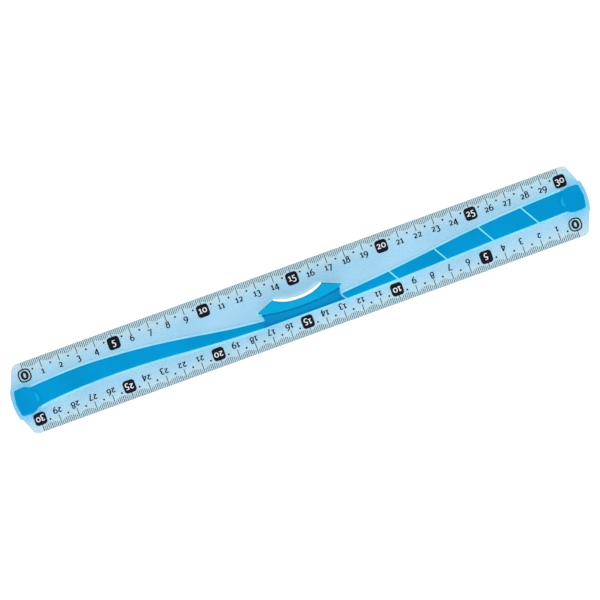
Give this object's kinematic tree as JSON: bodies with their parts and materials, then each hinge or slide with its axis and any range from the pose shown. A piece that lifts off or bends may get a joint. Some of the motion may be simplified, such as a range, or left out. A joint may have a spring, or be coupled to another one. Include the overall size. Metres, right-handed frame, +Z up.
{
  "type": "ruler",
  "caption": "Flat double-edged ruler with bevelled ruling edges, stepped end bumpers, a soft inlaid band and a raised grip wing over a finger window.",
  "frame": {"origin": "middle of the flat underside, under the middle of the length and width", "axes": "+X along the ruler in the direction the upper scale's numbers grow, +Y towards the upper scale's ruling edge, +Z up from the paper"},
  "size_m": [0.3224, 0.0388, 0.011],
  "materials": {
    "clear_plastic": "clear, light blue tint, polished",
    "soft_band": "satin soft-touch",
    "soft_grip": "satin soft-touch",
    "print_ink": "printed ink",
    "print_white": "printed ink"
  },
  "bodies": {
    "root": {"ruler_body": "clear_plastic", "left_end_cap": "soft_band", "left_inlay": "soft_band", "right_inlay_1": "soft_band", "right_inlay_2": "soft_band", "right_inlay_3": "soft_band", "right_inlay_4": "soft_band", "right_inlay_5": "soft_band", "right_end_cap": "soft_band", "grip": "soft_grip"}
  },
  "joints": []
}
